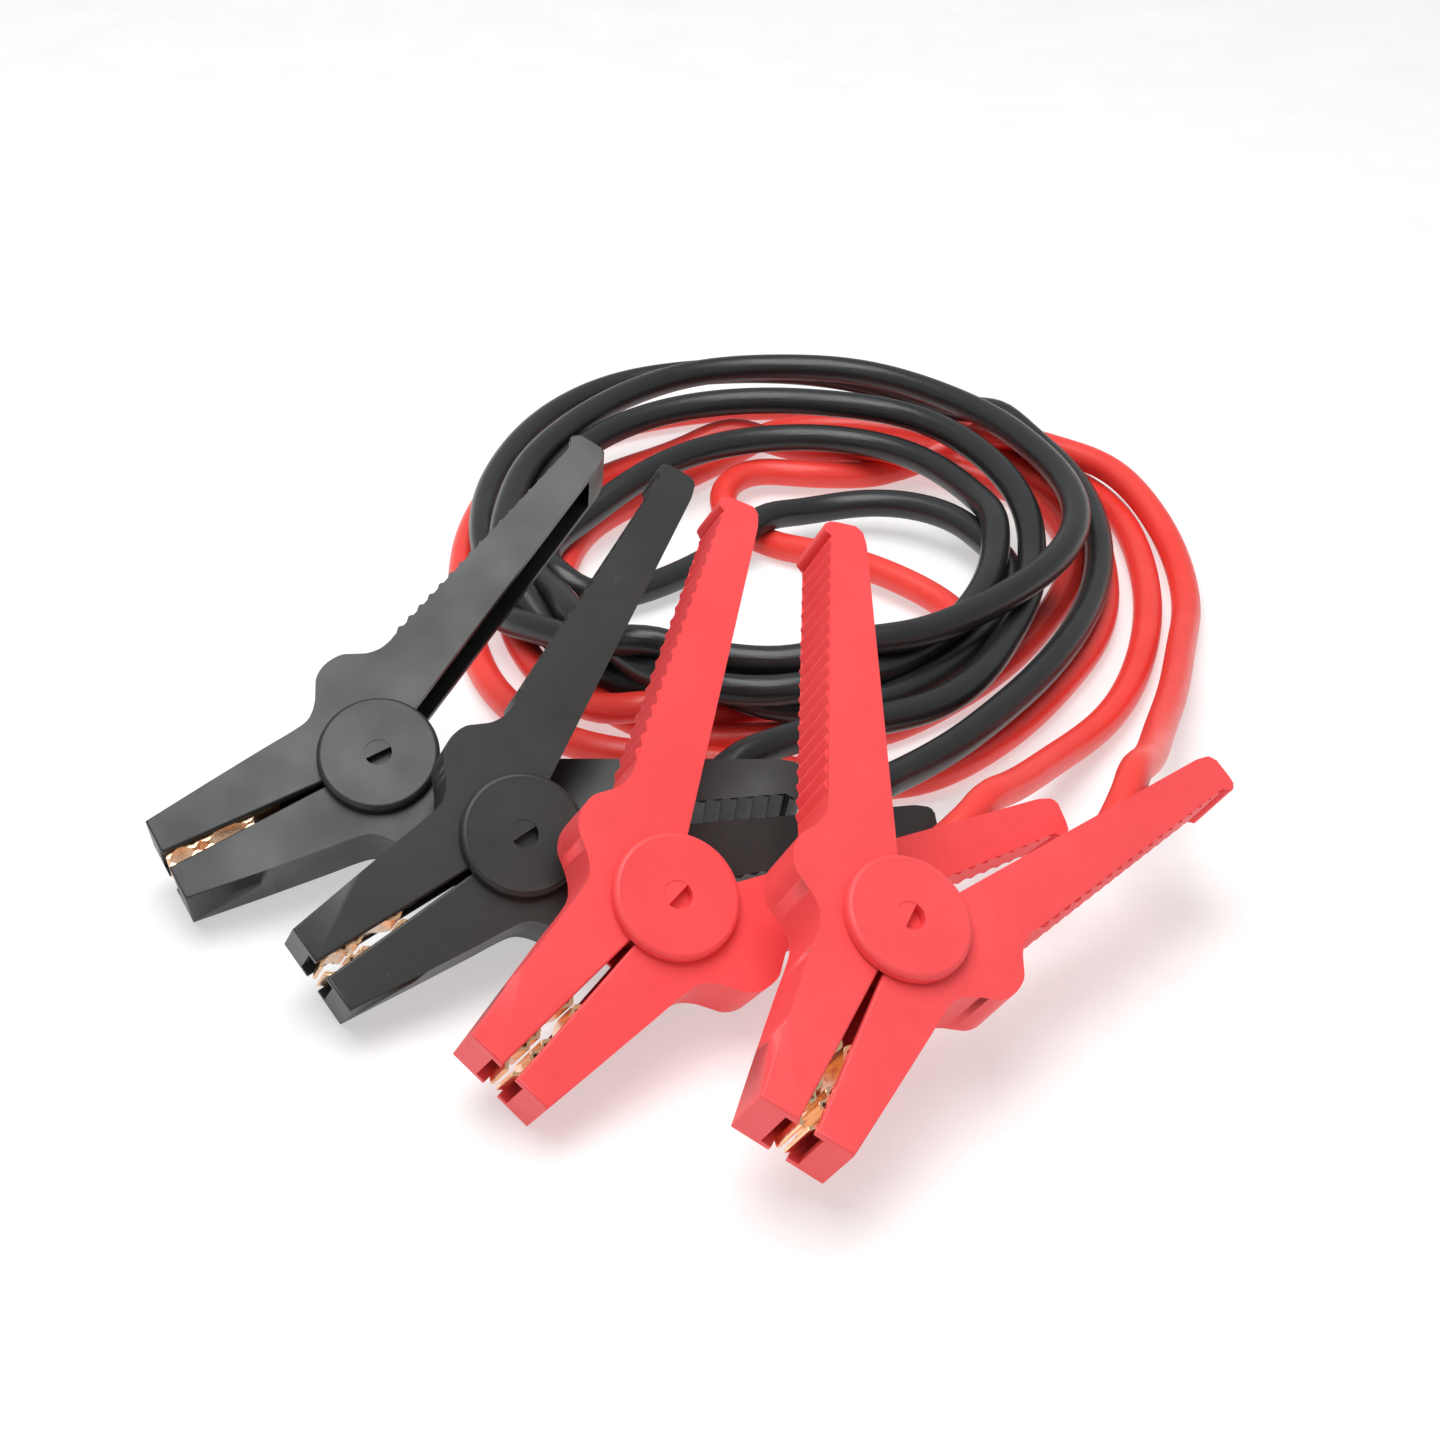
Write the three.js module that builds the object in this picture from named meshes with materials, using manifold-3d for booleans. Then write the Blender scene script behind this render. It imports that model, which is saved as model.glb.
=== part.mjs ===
// Car jumper cable set: a black and a red lead, each with a sprung, insulated clamp at both ends.
// The two leads lie wound in one loose coil on the floor, and the four clamps lean out in front of it.
// Units are millimetres, +Z is up and the floor is z = 0. The noses of the clamps point towards -Y.
import * as THREE from 'three';
import { mergeVertices } from 'three/addons/utils/BufferGeometryUtils.js';
import Module from 'manifold-3d';

// Sizes of a clamp. Its own axes: u from the pivot to the nose, v across the jaws, w along the pivot pin.
// The front face of the clamp is w = 0.
const NOSE = 67.3; // pivot to the end of the jaws
const NOSE_HALF = 13.5; // centre line to the outer edge of a jaw, at its end
const JAW_HALF = 19; // centre line to the outer edge of a jaw, beside the cover disc
const GAP_NOSE = 2.5; // half of the gap between the jaws, at their end
const THICK = 20; // a clamp from its front face to its back face
const WALL = 2.2; // plastic wall of a half shell
const END_WALL = 2.6; // plastic wall at the nose and at the handle's tip
const NOSE_NOTCH = 3; // how far the end wall of a jaw stays back from the gap
const HANDLE = 107.7; // pivot to the tip of a handle, along u
const TIP_OUT = 65.5; // centre line to the outer edge of a handle, near its tip
const TIP_IN = 55.8; // centre line to the inner edge of a handle, near its tip
const GUARD = 34.6; // centre line to the top of the finger guard beside the pivot
const WAIST = 31.2; // centre line to the outer edge just behind the finger guard
const LIP = 2.6; // how far the lip at the tip stands out
const LIP_LONG = 3.6; // length of that lip along the handle
const RIBS = 18; // grip ribs on the outer face of a handle
const RIB_HIGH = 1.1; // height of a grip rib

// Sizes at the pivot.
const DISC_R = 17.8; // cover disc
const DISC_HIGH = 3.4; // thickness of the cover disc on the front
const BACK_HIGH = 2.6; // thickness of the cover disc on the back
const DISC_ROUND = 1.6; // rounded rim of a cover disc
const NOTCH_R = 4; // half-moon recess in the cover disc
const NOTCH_DEEP = 1.8; // depth of that recess
const PIN_R = 3.6; // pivot pin
const RUN = 0.3; // gap between pieces that turn on each other or only touch
const EAR_R = 11.4; // outside of an ear around the pin
const EAR_T = 3; // thickness of an ear
const SPRING_WIRE = 2.2; // thickness of the torsion spring's wire

// Contact plates in the jaws.
const PLATE_T = 1; // sheet thickness
const TOOTH_GAP = 0.25; // half of the gap between the teeth of two closed plates

// Cable and coils.
const CABLE = 10; // outer diameter of a cable
const COIL_AT = [24, 812]; // middle of the coil on the floor
const COIL_RX = 113; // outside of the coil, across
const COIL_RY = 132; // outside of the coil, from front to back
const COIL_WIDE = 40; // radial width of a coil's bundle
const RED_HIGH = 14; // height of the red bundle, which lies lowest
const BLACK_HIGH = 17; // height of the black bundle on top of it
const BUNDLE_ROUND = 5; // rounded edges of a bundle

// Where the clamps lie: the pivot's place on the front face, then turns about Z, Y and X in degrees.
const CLAMPS = [
  { n: 1, black: true, at: [-99.1, 631.9, 38.3], turn: [-152.7, 12.9, -31.1] },
  { n: 2, black: true, at: [-54.9, 591.6, 38.3], turn: [-141.8, 12.9, -40.9] },
  { n: 3, black: false, at: [-12.2, 559.3, 40.8], turn: [-129.2, 15.0, -37.2] },
  { n: 4, black: false, at: [47.6, 536.1, 50.6], turn: [-113.8, 14.4, -30.3] },
];
// The stretches of cable between the coil and the handles, as points from the coil to the end of the cable,
// which lies in the channel of the handle that holds it.
const LEADS = {
  black_lead_1: [
    [60.7, 681.2, 22], [43.9, 676.3, 22.5], [28, 668, 23.5], [14.8, 656.6, 26.2],
    [5.7, 649.6, 26.1], [-3.4, 642.3, 22.5], [-18, 639.6, 21.9], [-39.8, 637, 22],
    [-61.3, 634.1, 21.8],
  ],
  black_lead_2: [
    [96.6, 703.6, 22], [86.5, 694.2, 21], [72, 669, 18.5], [56.6, 652.6, 19.8], [49, 643, 22],
    [41.6, 634.5, 21.3], [34, 625.8, 17.2], [20.4, 619.8, 17.3], [-0.2, 612.3, 18.6],
    [-20.5, 604.5, 19.6],
  ],
  red_lead_3: [
    [111.5, 904.4, 5.2], [122.9, 888.1, 5.2], [138, 867, 5.2], [146, 842, 5.2], [149, 815, 5.2],
    [147, 775, 5.2], [137, 733, 5.2], [124, 703, 6.5], [112.5, 685, 9], [102.8, 669.5, 13],
    [94.3, 654, 17.8], [86.6, 640.8, 22.2], [77.9, 627.5, 27.1], [70, 614.6, 27.1], [57.1, 602, 24.2],
    [38.5, 590.5, 24.3], [20.2, 578.8, 24.1],
  ],
  red_lead_4: [
    [111.5, 904.4, 15.4], [123.3, 888, 15.5], [140, 868, 15.4], [151.5, 846, 13.8],
    [160, 819, 8.6], [161, 781, 5.6], [154, 747, 8], [144.5, 706, 14.5], [134, 669.9, 22.1],
    [130, 654, 26.8], [125.2, 638.4, 33], [119.2, 622.7, 39.6], [114.7, 608.7, 40.1],
    [106.4, 593.1, 36.6], [91.1, 577.4, 36], [76.1, 561.7, 35.2],
  ],
};
// The whole set is moved by this, so that the origin lies under the middle of the clamps, on the floor.
const SHIFT = [9.8, -605.4, 0.25];

const LOOKS = {
  black_plastic: { color: '#34363a', roughness: 0.62, metalness: 0 },
  red_plastic: { color: '#f23b3e', roughness: 0.5, metalness: 0 },
  black_cable: { color: '#26282b', roughness: 0.45, metalness: 0 },
  red_cable: { color: '#e22023', roughness: 0.42, metalness: 0 },
  copper: { color: '#d99560', roughness: 0.25, metalness: 1 },
  steel: { color: '#a9abad', roughness: 0.35, metalness: 1 },
};

const wasm = await Module();
wasm.setup();

// Turn a closed geometry into a solid that can be cut and joined.
function solid(geometry) {
  const g = geometry.clone();
  g.deleteAttribute('normal');
  g.deleteAttribute('uv');
  const merged = mergeVertices(g, 1e-4);
  return new wasm.Manifold(new wasm.Mesh({
    numProp: 3,
    vertProperties: new Float32Array(merged.attributes.position.array),
    triVerts: new Uint32Array(merged.index.array),
  }));
}

// Turn a solid back into a geometry.
function geometryOf(manifold) {
  const mesh = manifold.getMesh();
  const g = new THREE.BufferGeometry();
  g.setAttribute('position', new THREE.BufferAttribute(new Float32Array(mesh.vertProperties), 3));
  g.setIndex(new THREE.BufferAttribute(new Uint32Array(mesh.triVerts), 1));
  g.computeVertexNormals();
  return g;
}

// A flat outline in u and v, filled from w = from to w = to.
function slab(points, from, to) {
  const shape = new THREE.Shape(points.map(([u, v]) => new THREE.Vector2(u, v)));
  const g = new THREE.ExtrudeGeometry(shape, { depth: to - from, bevelEnabled: false });
  g.translate(0, 0, from);
  return g;
}

// A turned piece about the w axis. Its profile is a list of [radius, w] with w rising on the outside.
function turned(profile, segments) {
  const g = new THREE.LatheGeometry(profile.map(([r, w]) => new THREE.Vector2(r, w)), segments);
  g.rotateX(Math.PI / 2);
  return g;
}

// A cylinder about the w axis.
function drum(radius, from, to, segments = 28) {
  const g = new THREE.CylinderGeometry(radius, radius, to - from, segments);
  g.rotateX(Math.PI / 2);
  g.translate(0, 0, (from + to) / 2);
  return g;
}

// A point at part t of the way from a to b.
const between = (a, b, t) => [a[0] + (b[0] - a[0]) * t, a[1] + (b[1] - a[1]) * t];

// The outline of a half on the +v side. Its outer edge runs from the nose over the jaw, the finger
// guard and the ribs to the tip, and its inner edge comes back from the tip to the nose.
const RIB_FROM = [-22, WAIST + 2];
const RIB_TO = [-HANDLE + 4.2 + LIP_LONG, TIP_OUT];
const JAW_EDGE = [
  [NOSE, NOSE_HALF],
  [NOSE - 21, between([0, NOSE_HALF], [0, JAW_HALF], 0.45)[1]],
  [NOSE - 40, JAW_HALF - 0.8],
  [DISC_R + 1.5, JAW_HALF],
];
const GUARD_EDGE = [
  [13.6, JAW_HALF + 1],
  [10.6, JAW_HALF + 3],
  [8.2, JAW_HALF + 6],
  [6.6, GUARD - 6.6],
  [4.6, GUARD - 3.2],
  [1.6, GUARD - 1],
  [-1.8, GUARD],
  [-5.4, GUARD],
  [-8.8, GUARD - 1.5],
  [-12.2, WAIST + 0.4],
  [-16, WAIST],
  [-19.4, WAIST + 0.8],
];
const TIP_TOP = [-HANDLE + 3.4, TIP_OUT + 1];
const TIP_END = [-HANDLE, TIP_OUT - 6];
const INNER_TIP = [-HANDLE + 4.4, TIP_IN];
const INNER_ROOT = [-DISC_R + 1.3, 9.2];
const DRUM_R = EAR_R + RUN * 2;
const EAR_ANGLE = Math.PI - Math.atan2(INNER_ROOT[1], -INNER_ROOT[0]);

const ALONG = new THREE.Vector2(RIB_TO[0] - RIB_FROM[0], RIB_TO[1] - RIB_FROM[1]).normalize();
const moved = (p, along, out) => [
  p[0] + ALONG.x * along + ALONG.y * out,
  p[1] + ALONG.y * along - ALONG.x * out,
];

function ribEdge() {
  const points = [];
  for (let i = 0; i < RIBS; i += 1) {
    points.push(between(RIB_FROM, RIB_TO, i / RIBS));
    points.push(moved(between(RIB_FROM, RIB_TO, (i + 0.6) / RIBS), 0, RIB_HIGH));
  }
  points.push(RIB_TO);
  return points;
}

// The arc around the ears, from the handle's side to the jaw's side.
function drumEdge(steps) {
  const points = [];
  for (let i = 0; i <= steps; i += 1) {
    const a = EAR_ANGLE + (0.05 - EAR_ANGLE) * (i / steps);
    points.push([DRUM_R * Math.cos(a), DRUM_R * Math.sin(a)]);
  }
  return points;
}

const OUTLINE = [
  ...JAW_EDGE,
  ...GUARD_EDGE,
  ...ribEdge(),
  moved(RIB_TO, 0.2, LIP),
  moved(RIB_TO, LIP_LONG, LIP),
  TIP_TOP,
  TIP_END,
  INNER_TIP,
  INNER_ROOT,
  ...drumEdge(12),
  [NOSE, GAP_NOSE],
];

// The hollow of a half: its outer edge lies one wall inside the outline, and it is open on the inner side.
const HOLLOW = [
  [NOSE - END_WALL, NOSE_HALF - WALL],
  [DISC_R + 1.5, JAW_HALF - WALL],
  [12, JAW_HALF + 1 - WALL],
  [7, JAW_HALF + 4.5 - WALL],
  [3.6, GUARD - 4.5 - WALL],
  [-1.8, GUARD - WALL - 0.6],
  [-7, GUARD - WALL - 2],
  [-13, WAIST - WALL - 0.4],
  [-21, WAIST + 1.2 - WALL],
  moved(RIB_TO, LIP_LONG - 1.6, -WALL),
  [INNER_TIP[0] + END_WALL * 0.9, INNER_TIP[1] - 1],
  [INNER_ROOT[0], INNER_ROOT[1] - 9],
  [0, -2],
  [NOSE - END_WALL, -2],
];

// Mirror an outline onto the -v side, in the order that keeps it turning the same way.
const mirrored = (points, side) => (side > 0 ? points : points.map(([u, v]) => [u, -v]).reverse());

// One plastic half: shell, open channel and two ears around the pin.
// Side +1 holds the cable and has the inner ears, side -1 moves and has the outer ears.
function shell(side) {
  const outer = solid(slab(mirrored(OUTLINE, side), -THICK, 0));
  const hollow = solid(slab(mirrored(HOLLOW, side), -THICK + WALL, -WALL));
  const notchTop = GAP_NOSE + NOSE_NOTCH;
  const notch = [[NOSE - END_WALL - 1, 0], [NOSE + 1, 0], [NOSE + 1, notchTop], [NOSE - END_WALL - 1, notchTop]];
  let body = outer.subtract(hollow);
  body = body.subtract(solid(slab(mirrored(notch, side), -THICK + WALL, -WALL)));
  const outerEar = [-EAR_T, 0];
  const innerEar = [-EAR_T * 2 - RUN, -EAR_T - RUN];
  const front = side > 0 ? innerEar : outerEar;
  const back = [-THICK - front[1], -THICK - front[0]];
  const arm = [[EAR_R * 0.7, 3], [EAR_R * 0.7, DRUM_R + 3], [4, GUARD - 6], [-9, GUARD - 3.4], [-EAR_R * 0.8, 7]];
  [front, back].forEach(([from, to]) => {
    body = body.add(solid(drum(EAR_R, from, to)));
    body = body.add(solid(slab(mirrored(arm, side), from, to)));
  });
  return geometryOf(body.subtract(solid(drum(PIN_R + RUN, -THICK - 1, 1, 24))));
}

// The wavy contact plate of a jaw. Two of them make the eyes and the teeth in the gap.
function plateMiddle() {
  const top = TOOTH_GAP + PLATE_T / 2;
  return [
    [NOSE - 37, GAP_NOSE + 3.6],
    [NOSE - 31, GAP_NOSE + 3.2],
    [NOSE - 28.6, GAP_NOSE + 0.6],
    [NOSE - 26.6, top],
    [NOSE - 24.6, top + 0.5],
    [NOSE - 21.6, top + 1.9],
    [NOSE - 18, top + 2.3],
    [NOSE - 15, top + 1.5],
    [NOSE - 13.2, top + 0.1],
    [NOSE - 12, top + 1.1],
    [NOSE - 10.4, top + 1.3],
    [NOSE - 9, top],
    [NOSE - 7.6, top + 1.3],
    [NOSE - 5.4, top + 2.2],
    [NOSE - 3, top + 1.8],
    [NOSE - 1.4, top + 0.6],
    [NOSE - 0.8, top],
  ];
}

function plate(side) {
  const middle = plateMiddle();
  const offset = (i, s) => {
    const a = middle[Math.max(i - 1, 0)];
    const b = middle[Math.min(i + 1, middle.length - 1)];
    const d = new THREE.Vector2(b[0] - a[0], b[1] - a[1]).normalize();
    return [middle[i][0] - d.y * s * PLATE_T / 2, middle[i][1] + d.x * s * PLATE_T / 2];
  };
  const inner = middle.map((p, i) => offset(i, -1));
  const outer = middle.map((p, i) => offset(i, 1)).reverse();
  const points = [...inner, ...outer];
  return slab(mirrored(points, side), -THICK + WALL + RUN, -WALL - RUN);
}

// The pin with the front cover disc: a turned piece with a half-moon recess in the disc.
function pivot() {
  const top = RUN + DISC_HIGH;
  const pin = turned([
    [0, -THICK],
    [PIN_R, -THICK],
    [PIN_R, RUN],
    [DISC_R, RUN],
    [DISC_R, top - DISC_ROUND],
    [DISC_R - DISC_ROUND * 0.35, top - DISC_ROUND * 0.35],
    [DISC_R - DISC_ROUND, top],
    [0, top],
  ], 32);
  const steps = 10;
  const half = [];
  for (let i = 0; i <= steps; i += 1) {
    const a = Math.PI * (i / steps);
    half.push([NOTCH_R * Math.cos(a), NOTCH_R * Math.sin(a)]);
  }
  return geometryOf(solid(pin).subtract(solid(slab(half, top - NOTCH_DEEP, top + 1))));
}

// The cover disc on the back.
function backDisc() {
  const low = -THICK - RUN - BACK_HIGH;
  return turned([
    [0, low],
    [DISC_R - DISC_ROUND, low],
    [DISC_R - DISC_ROUND * 0.35, low + DISC_ROUND * 0.35],
    [DISC_R, low + DISC_ROUND],
    [DISC_R, -THICK - RUN],
    [0, -THICK - RUN],
  ], 32);
}

// The coil of the torsion spring, between the inner ears.
function spring() {
  const half = THICK / 2 - EAR_T * 2 - RUN * 2;
  const inside = PIN_R + RUN;
  const outside = inside + SPRING_WIRE;
  return turned([
    [inside, -THICK / 2 - half],
    [outside, -THICK / 2 - half],
    [outside, -THICK / 2 + half],
    [inside, -THICK / 2 + half],
    [inside, -THICK / 2 - half],
  ], 24);
}

// A cable tube through a list of points.
function tube(points) {
  const curve = new THREE.CatmullRomCurve3(points.map((p) => new THREE.Vector3(...p)), false, 'centripetal');
  const shape = new THREE.Shape();
  const sides = 10;
  for (let i = 0; i < sides; i += 1) {
    const a = (Math.PI * 2 * i) / sides;
    const x = CABLE / 2 * Math.cos(a);
    const y = CABLE / 2 * Math.sin(a);
    if (i === 0) shape.moveTo(x, y);
    else shape.lineTo(x, y);
  }
  shape.closePath();
  const steps = Math.max(4, Math.round(curve.getLength() / (CABLE * 2)));
  return new THREE.ExtrudeGeometry(shape, { steps, bevelEnabled: false, extrudePath: curve });
}

// One coil bundle: a ring with rounded edges.
function coil(from, high) {
  const outside = COIL_RX;
  const inside = COIL_RX - COIL_WIDE;
  const r = BUNDLE_ROUND;
  const g = turned([
    [inside, from + r],
    [inside + r, from],
    [outside - r, from],
    [outside, from + r],
    [outside, from + high - r],
    [outside - r, from + high],
    [inside + r, from + high],
    [inside, from + high - r],
    [inside, from + r],
  ], 48);
  g.scale(1, COIL_RY / COIL_RX, 1);
  g.translate(COIL_AT[0], COIL_AT[1], 0);
  return g;
}

const group = new THREE.Group();
group.position.set(...SHIFT);

function add(parent, name, geometry, look) {
  const mesh = new THREE.Mesh(geometry, new THREE.MeshStandardMaterial(LOOKS[look]));
  mesh.name = name;
  parent.add(mesh);
  return mesh;
}

CLAMPS.forEach(({ n, black, at, turn }) => {
  const clamp = new THREE.Group();
  const [z, y, x] = turn.map(THREE.MathUtils.degToRad);
  clamp.position.set(...at);
  clamp.rotation.set(x, y, z, 'ZYX');
  group.add(clamp);
  const plastic = black ? 'black_plastic' : 'red_plastic';
  add(clamp, `clamp_${n}_cable_half`, shell(1), plastic);
  add(clamp, `clamp_${n}_free_half`, shell(-1), plastic);
  add(clamp, `clamp_${n}_cable_plate`, plate(1), 'copper');
  add(clamp, `clamp_${n}_free_plate`, plate(-1), 'copper');
  add(clamp, `clamp_${n}_pivot`, pivot(), plastic);
  add(clamp, `clamp_${n}_back_disc`, backDisc(), plastic);
  add(clamp, `clamp_${n}_spring`, spring(), 'steel');
});

Object.entries(LEADS).forEach(([name, points]) => {
  add(group, name, tube(points), name.startsWith('black') ? 'black_cable' : 'red_cable');
});
add(group, 'red_coil', coil(-SHIFT[2], RED_HIGH), 'red_cable');
add(group, 'black_coil', coil(RED_HIGH + RUN - SHIFT[2], BLACK_HIGH), 'black_cable');

group.updateMatrixWorld(true);
export default group;
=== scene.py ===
# %% [markdown]
# # Car jumper cables, lying as they were put down
#
# A black and a red lead are wound together in one loose coil, and four sprung clamps lean out in front of it.
# The rigid pieces are already fixed by the CAD model, so this script dresses them: it lays the two cables,
# moulds the clamp halves again with round edges and fine ribs, and gives every surface its finish.

import math

import bmesh
import bpy
import numpy as np
from mathutils import Euler, Matrix, Vector


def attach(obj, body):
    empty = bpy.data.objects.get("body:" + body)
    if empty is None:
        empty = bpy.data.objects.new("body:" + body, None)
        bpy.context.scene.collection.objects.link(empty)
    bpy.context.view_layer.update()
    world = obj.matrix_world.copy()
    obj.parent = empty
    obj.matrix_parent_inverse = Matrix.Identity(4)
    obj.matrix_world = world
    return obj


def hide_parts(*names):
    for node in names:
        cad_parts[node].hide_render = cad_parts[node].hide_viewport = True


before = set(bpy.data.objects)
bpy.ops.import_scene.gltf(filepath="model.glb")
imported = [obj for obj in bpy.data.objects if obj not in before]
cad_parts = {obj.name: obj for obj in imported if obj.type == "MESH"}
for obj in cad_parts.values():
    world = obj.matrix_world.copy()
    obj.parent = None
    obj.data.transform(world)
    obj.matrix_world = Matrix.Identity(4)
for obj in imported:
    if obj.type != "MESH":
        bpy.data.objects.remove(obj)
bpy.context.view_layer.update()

# %% [markdown]
# ## Camera
#
# The picture was taken from the front, a little above the floor, so the clamps look large and the coil behind
# them is flattened. A camera 0.45 m up that looks down by 32 degrees through a 65 mm lens gives that view.
# The camera is made first, because the way the cables lie is judged through it.

# %% Camera
MM = 0.001
TILT = 32.358  # how far the camera looks down, degrees

camera_data = bpy.data.cameras.new("camera")
camera_data.lens = 65
camera_data.sensor_width = 36
camera = bpy.data.objects.new("camera", camera_data)
camera.location = (0.0098, -0.6054, 0.4517)
camera.rotation_euler = (math.radians(90 - TILT), 0, 0)
bpy.context.scene.collection.objects.link(camera)
bpy.context.scene.camera = camera
print("camera height:", round(camera.location.z, 3), "m")

# %% [markdown]
# ## The two cables
#
# Each lead is one cable of 10 mm and about 3 m, from the handle of one clamp, round the coil, and back into
# the handle of the other. A cable can be drawn as a curve with a bevel, or as a tube of rings. The tube is
# chosen because its rings can carry a UV map: one direction runs along the cable, the other around it, and the
# sheath's fine drawing marks follow it. The route is a list of points, in millimetres.

# %% Routes of the cables
BLACK_ROUTE = [
    (-10.7, -0.9, 19.8), (9.6, 6.9, 18.8), (30.2, 14.4, 17.6), (43.8, 20.4, 17.4), (51.4, 29.1, 21.6),
    (58.8, 37.6, 22.2), (66.4, 47.2, 20), (81.8, 63.6, 18.8), (96, 82, 18.6), (109.3, 101.4, 18),
    (125.8, 133.2, 17), (137.5, 167.2, 16), (142.8, 201.5, 16), (140.4, 236.2, 17), (130.5, 266.7, 18),
    (110.5, 291.5, 18), (87.5, 313.5, 18), (62.5, 329, 18), (36, 336.5, 18), (1.9, 335.4, 18),
    (-29.3, 324.4, 18), (-53, 299.2, 18), (-67.6, 265, 18), (-74.1, 233.1, 17), (-73.8, 205.6, 17),
    (-69.4, 178.4, 16), (-60, 151.7, 17), (-45.1, 127.7, 21), (-28.7, 110.8, 25), (-8, 104.1, 26),
    (14.9, 100, 27), (35.1, 100, 27), (58.2, 105.7, 28), (80.6, 117.9, 29), (104.2, 137, 30),
    (122.7, 161.4, 30), (132.4, 187.1, 30), (132.9, 216.1, 29), (124.8, 246.5, 28), (111.2, 273.2, 28),
    (89, 297.6, 28), (63.8, 314.2, 28), (36.1, 318.6, 28), (2.1, 313.8, 28), (-23.6, 295.8, 28),
    (-43.7, 269.8, 28), (-56.9, 242.1, 27), (-62.3, 212.7, 26), (-63.4, 187.7, 25), (-60.6, 164.8, 22),
    (-52.8, 145.6, 19), (-38.6, 125.5, 17), (-23.8, 112, 16), (-2.9, 98.5, 16), (22.4, 91.3, 16),
    (47.8, 92.5, 16), (71.5, 107.1, 16), (91.3, 129.7, 16), (105.5, 156.2, 16), (109.2, 181.2, 16),
    (102, 209.3, 15), (83.4, 227.9, 14), (60.8, 236.4, 12), (38.8, 230.3, 10), (21.3, 216, 9),
    (1.4, 195.7, 8), (-17.9, 179.9, 8), (-32.9, 173, 8), (-45.4, 175.4, 9), (-51.3, 189.2, 10),
    (-48.1, 203, 12), (-36, 221.1, 16), (-22.2, 238.7, 19), (-2, 259.3, 20), (24.8, 272, 20),
    (54.7, 272, 20), (77.9, 261, 20), (95.5, 238.3, 20), (104.8, 212, 20), (105.7, 182.5, 20),
    (99.8, 154.6, 20), (87.2, 129.8, 19), (67.6, 108.7, 18), (45.1, 91.6, 21), (22.3, 87.2, 23),
    (-0.3, 93.2, 23), (-21.1, 110.4, 20), (-40.1, 130.7, 20), (-52.1, 157.3, 20), (-57.5, 188.3, 20),
    (-56.9, 214.2, 22), (-47, 244.8, 24), (-30.4, 269.2, 25), (-5.3, 286, 26), (24.9, 290.9, 27),
    (55, 285.2, 28), (81.4, 274.9, 28), (102, 251.8, 27), (115.2, 220.7, 25), (118, 190.4, 22),
    (112.6, 161.8, 19), (104, 130, 19), (91, 100, 20.5), (73, 78.5, 22), (53.7, 70.9, 22.7),
    (37.8, 62.6, 23.8), (24.6, 51.2, 26.4), (15.5, 44.2, 26.4), (6.4, 36.9, 22.8), (-8.2, 34.2, 22.2),
    (-30, 31.6, 22.2), (-51.5, 28.7, 22),
]
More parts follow.
